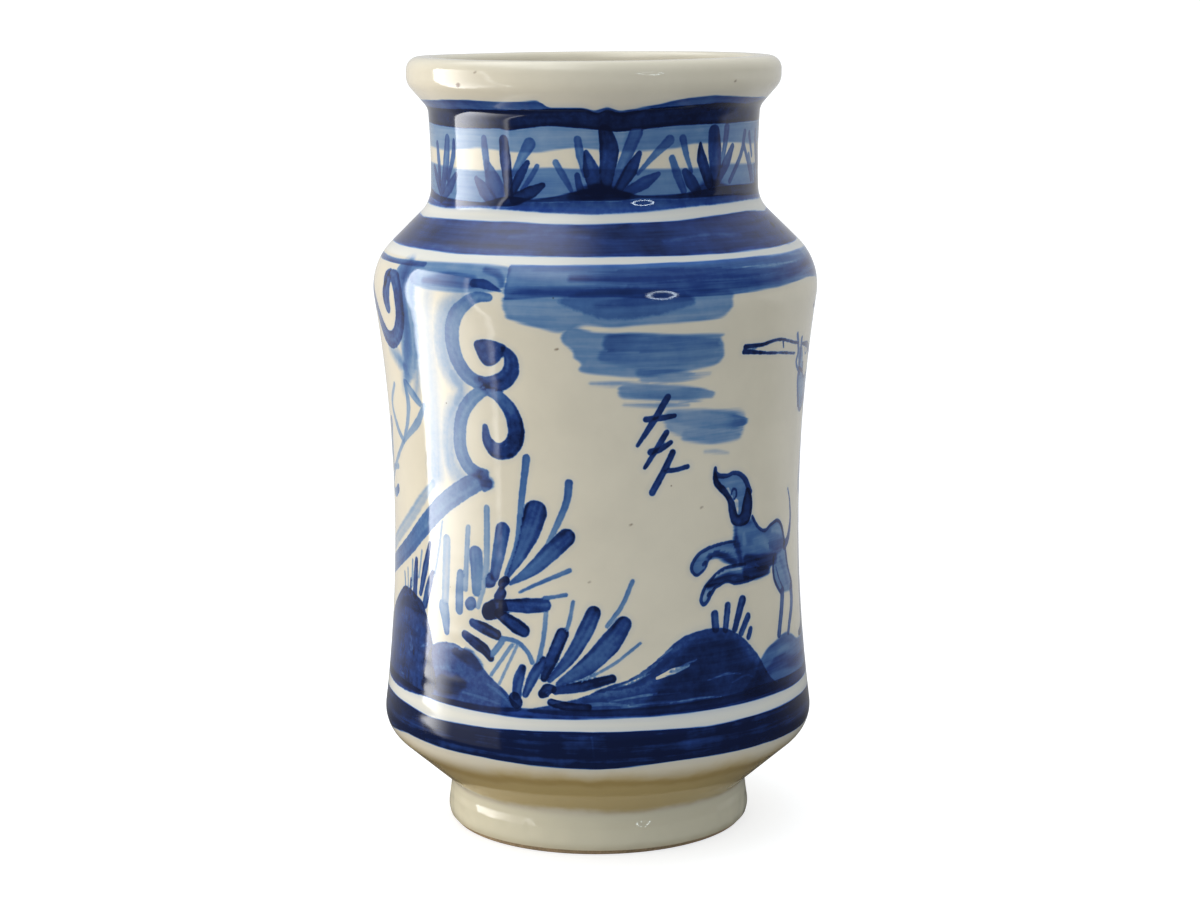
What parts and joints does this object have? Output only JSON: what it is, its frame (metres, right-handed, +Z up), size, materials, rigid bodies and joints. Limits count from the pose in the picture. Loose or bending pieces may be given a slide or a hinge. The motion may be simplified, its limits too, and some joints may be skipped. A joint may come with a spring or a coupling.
{
  "type": "pharmacy jar",
  "caption": "Waisted tin-glazed earthenware pharmacy jar with a rolled rim, sloped shoulder and foot ring, painted in cobalt blue, for keeping herbs or ointment.",
  "frame": {"origin": "centre of the foot ring's resting face, on the table", "axes": "+Z up along the jar's axis, -Y towards the painted side that the picture shows"},
  "size_m": [0.1142, 0.1142, 0.1992],
  "materials": {
    "clay": "bare fired buff earthenware",
    "slip": "fired slip of the same clay",
    "white_glaze": "glossy cream-white tin glaze with fine pinholes",
    "dark_cobalt": "glossy blue-black cobalt sunk into the glaze",
    "mid_cobalt": "glossy streaky cobalt blue sunk into the glaze"
  },
  "bodies": {
    "root": {"foot_ring": "clay", "foot_slip": "slip", "body_wall": "clay", "neck_slip": "slip", "neck_collar": "clay", "inner_glaze": "white_glaze", "outer_glaze": "white_glaze", "base_band": "dark_cobalt", "sky_band": "mid_cobalt", "shoulder_band": "dark_cobalt", "ground_band": "dark_cobalt", "lip_band": "dark_cobalt"}
  },
  "joints": []
}
